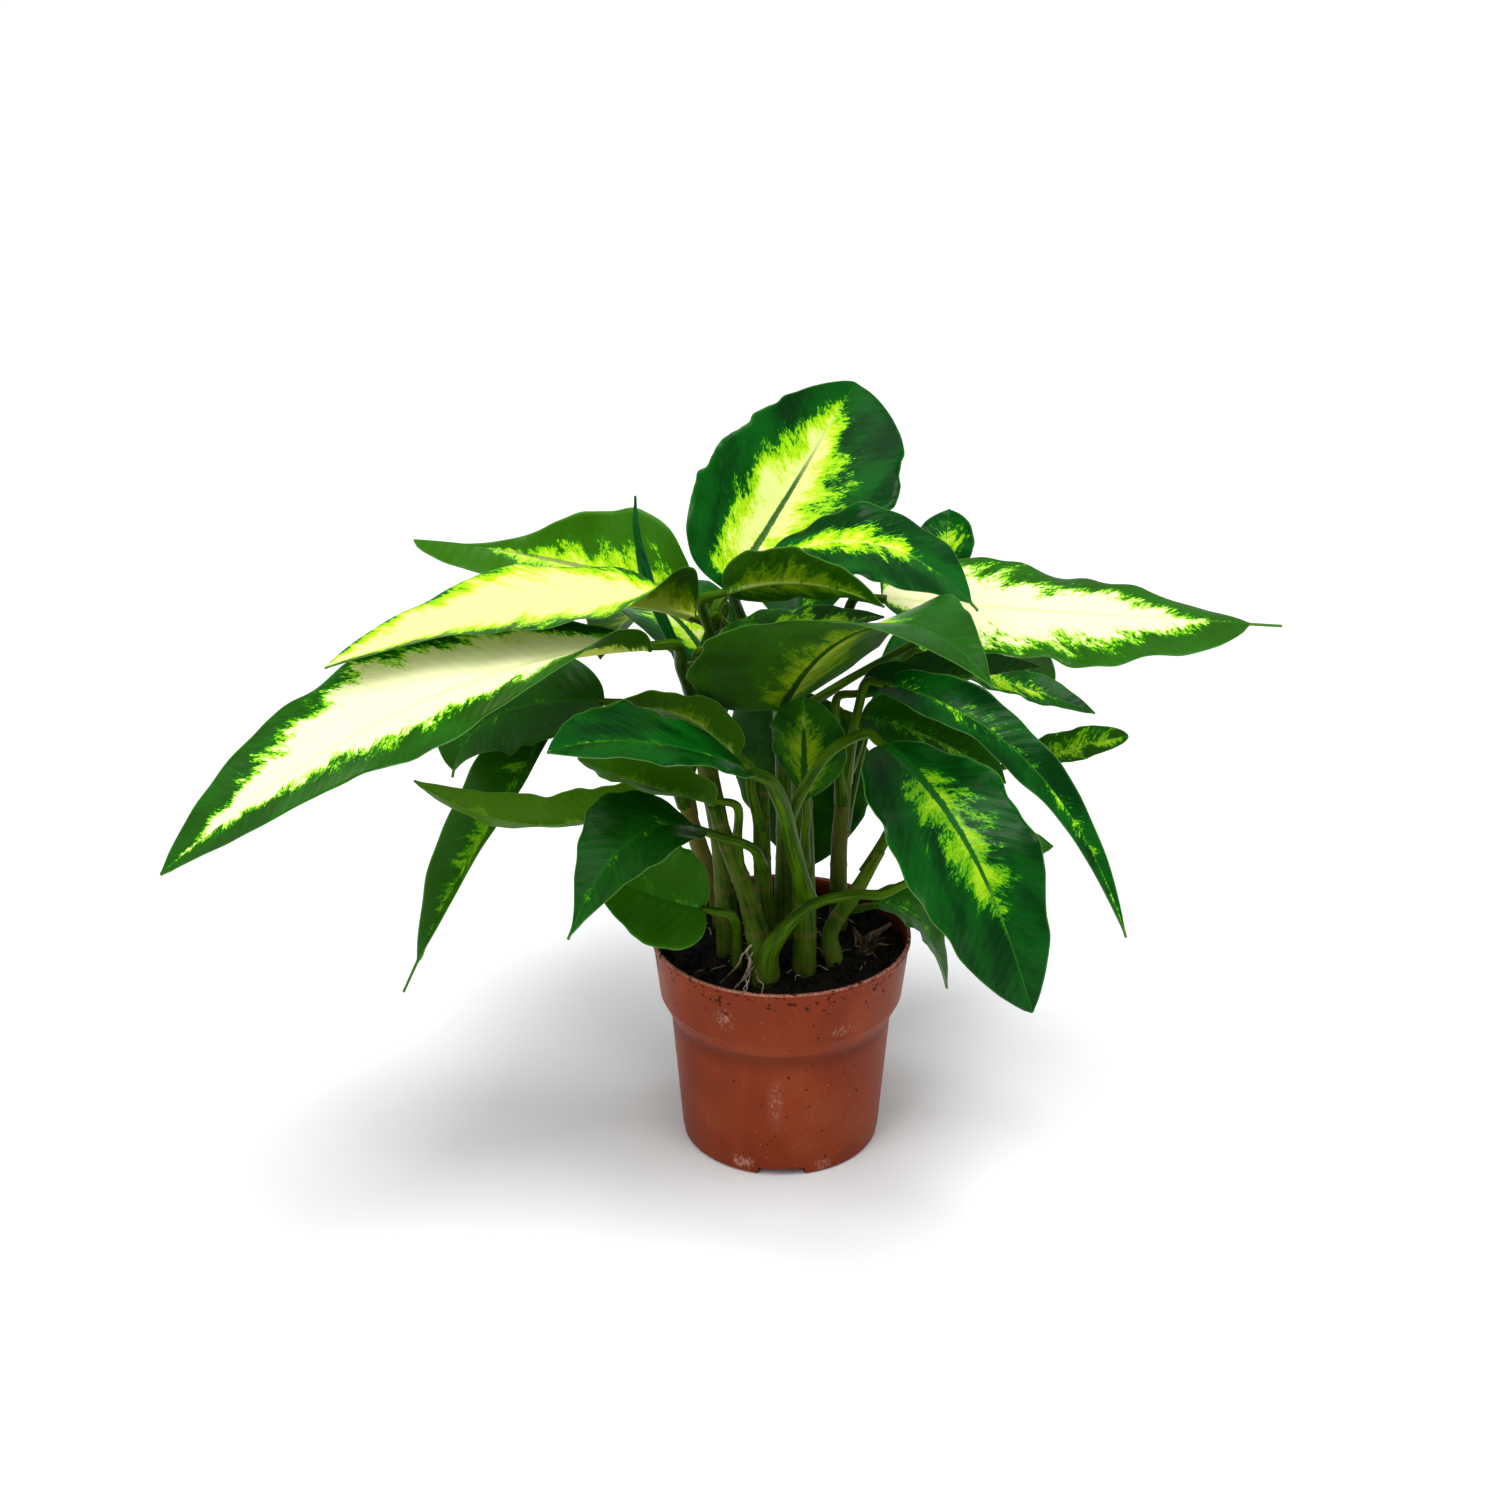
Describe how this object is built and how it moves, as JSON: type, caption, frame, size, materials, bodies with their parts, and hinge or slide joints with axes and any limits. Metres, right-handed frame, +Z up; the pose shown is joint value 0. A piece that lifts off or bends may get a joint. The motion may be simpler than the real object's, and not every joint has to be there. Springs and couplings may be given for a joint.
{
  "type": "potted plant",
  "caption": "Bushy potted dieffenbachia with broad cream-and-green variegated leaves on sheathed canes, in a round tapered plastic nursery pot filled with soil.",
  "frame": {"origin": "centre of the pot's foot, on the surface it stands on", "axes": "+Z up along the pot's axis; the fullest side of the plant, seen in the picture, faces -Y; +X is the picture's right"},
  "size_m": [0.4597, 0.3278, 0.3451],
  "materials": {
    "pot_plastic": "satin terracotta-coloured moulded plastic, a little scuffed",
    "soil": "dark peaty potting soil",
    "stem_green": "smooth fleshy green stem",
    "dry_stem": "dry fibrous brown stub",
    "leaf_green": "glossy dark green leaf with a cream and lime centre"
  },
  "bodies": {
    "root": {"pot": "pot_plastic", "soil": "soil", "shoot_1": "stem_green", "shoot_2": "stem_green", "shoot_3": "stem_green", "shoot_4": "stem_green", "shoot_5": "stem_green", "shoot_6": "stem_green", "shoot_7": "stem_green", "shoot_8": "stem_green", "shoot_9": "stem_green", "dead_stub": "dry_stem", "leaf_01": "leaf_green", "leaf_02": "leaf_green", "leaf_03": "leaf_green", "leaf_04": "leaf_green", "leaf_05": "leaf_green", "leaf_06": "leaf_green", "leaf_07": "leaf_green", "leaf_08": "leaf_green", "leaf_09": "leaf_green", "leaf_10": "leaf_green", "leaf_11": "leaf_green", "leaf_12": "leaf_green", "leaf_13": "leaf_green", "leaf_14": "leaf_green", "leaf_15": "leaf_green", "leaf_16": "leaf_green", "leaf_17": "leaf_green", "leaf_18": "leaf_green", "leaf_19": "leaf_green", "leaf_20": "leaf_green", "leaf_21": "leaf_green", "leaf_22": "leaf_green", "leaf_23": "leaf_green", "leaf_24": "leaf_green", "leaf_25": "leaf_green", "leaf_26": "leaf_green", "leaf_27": "leaf_green", "leaf_28": "leaf_green", "leaf_29": "leaf_green", "leaf_30": "leaf_green", "leaf_31": "leaf_green"}
  },
  "joints": []
}
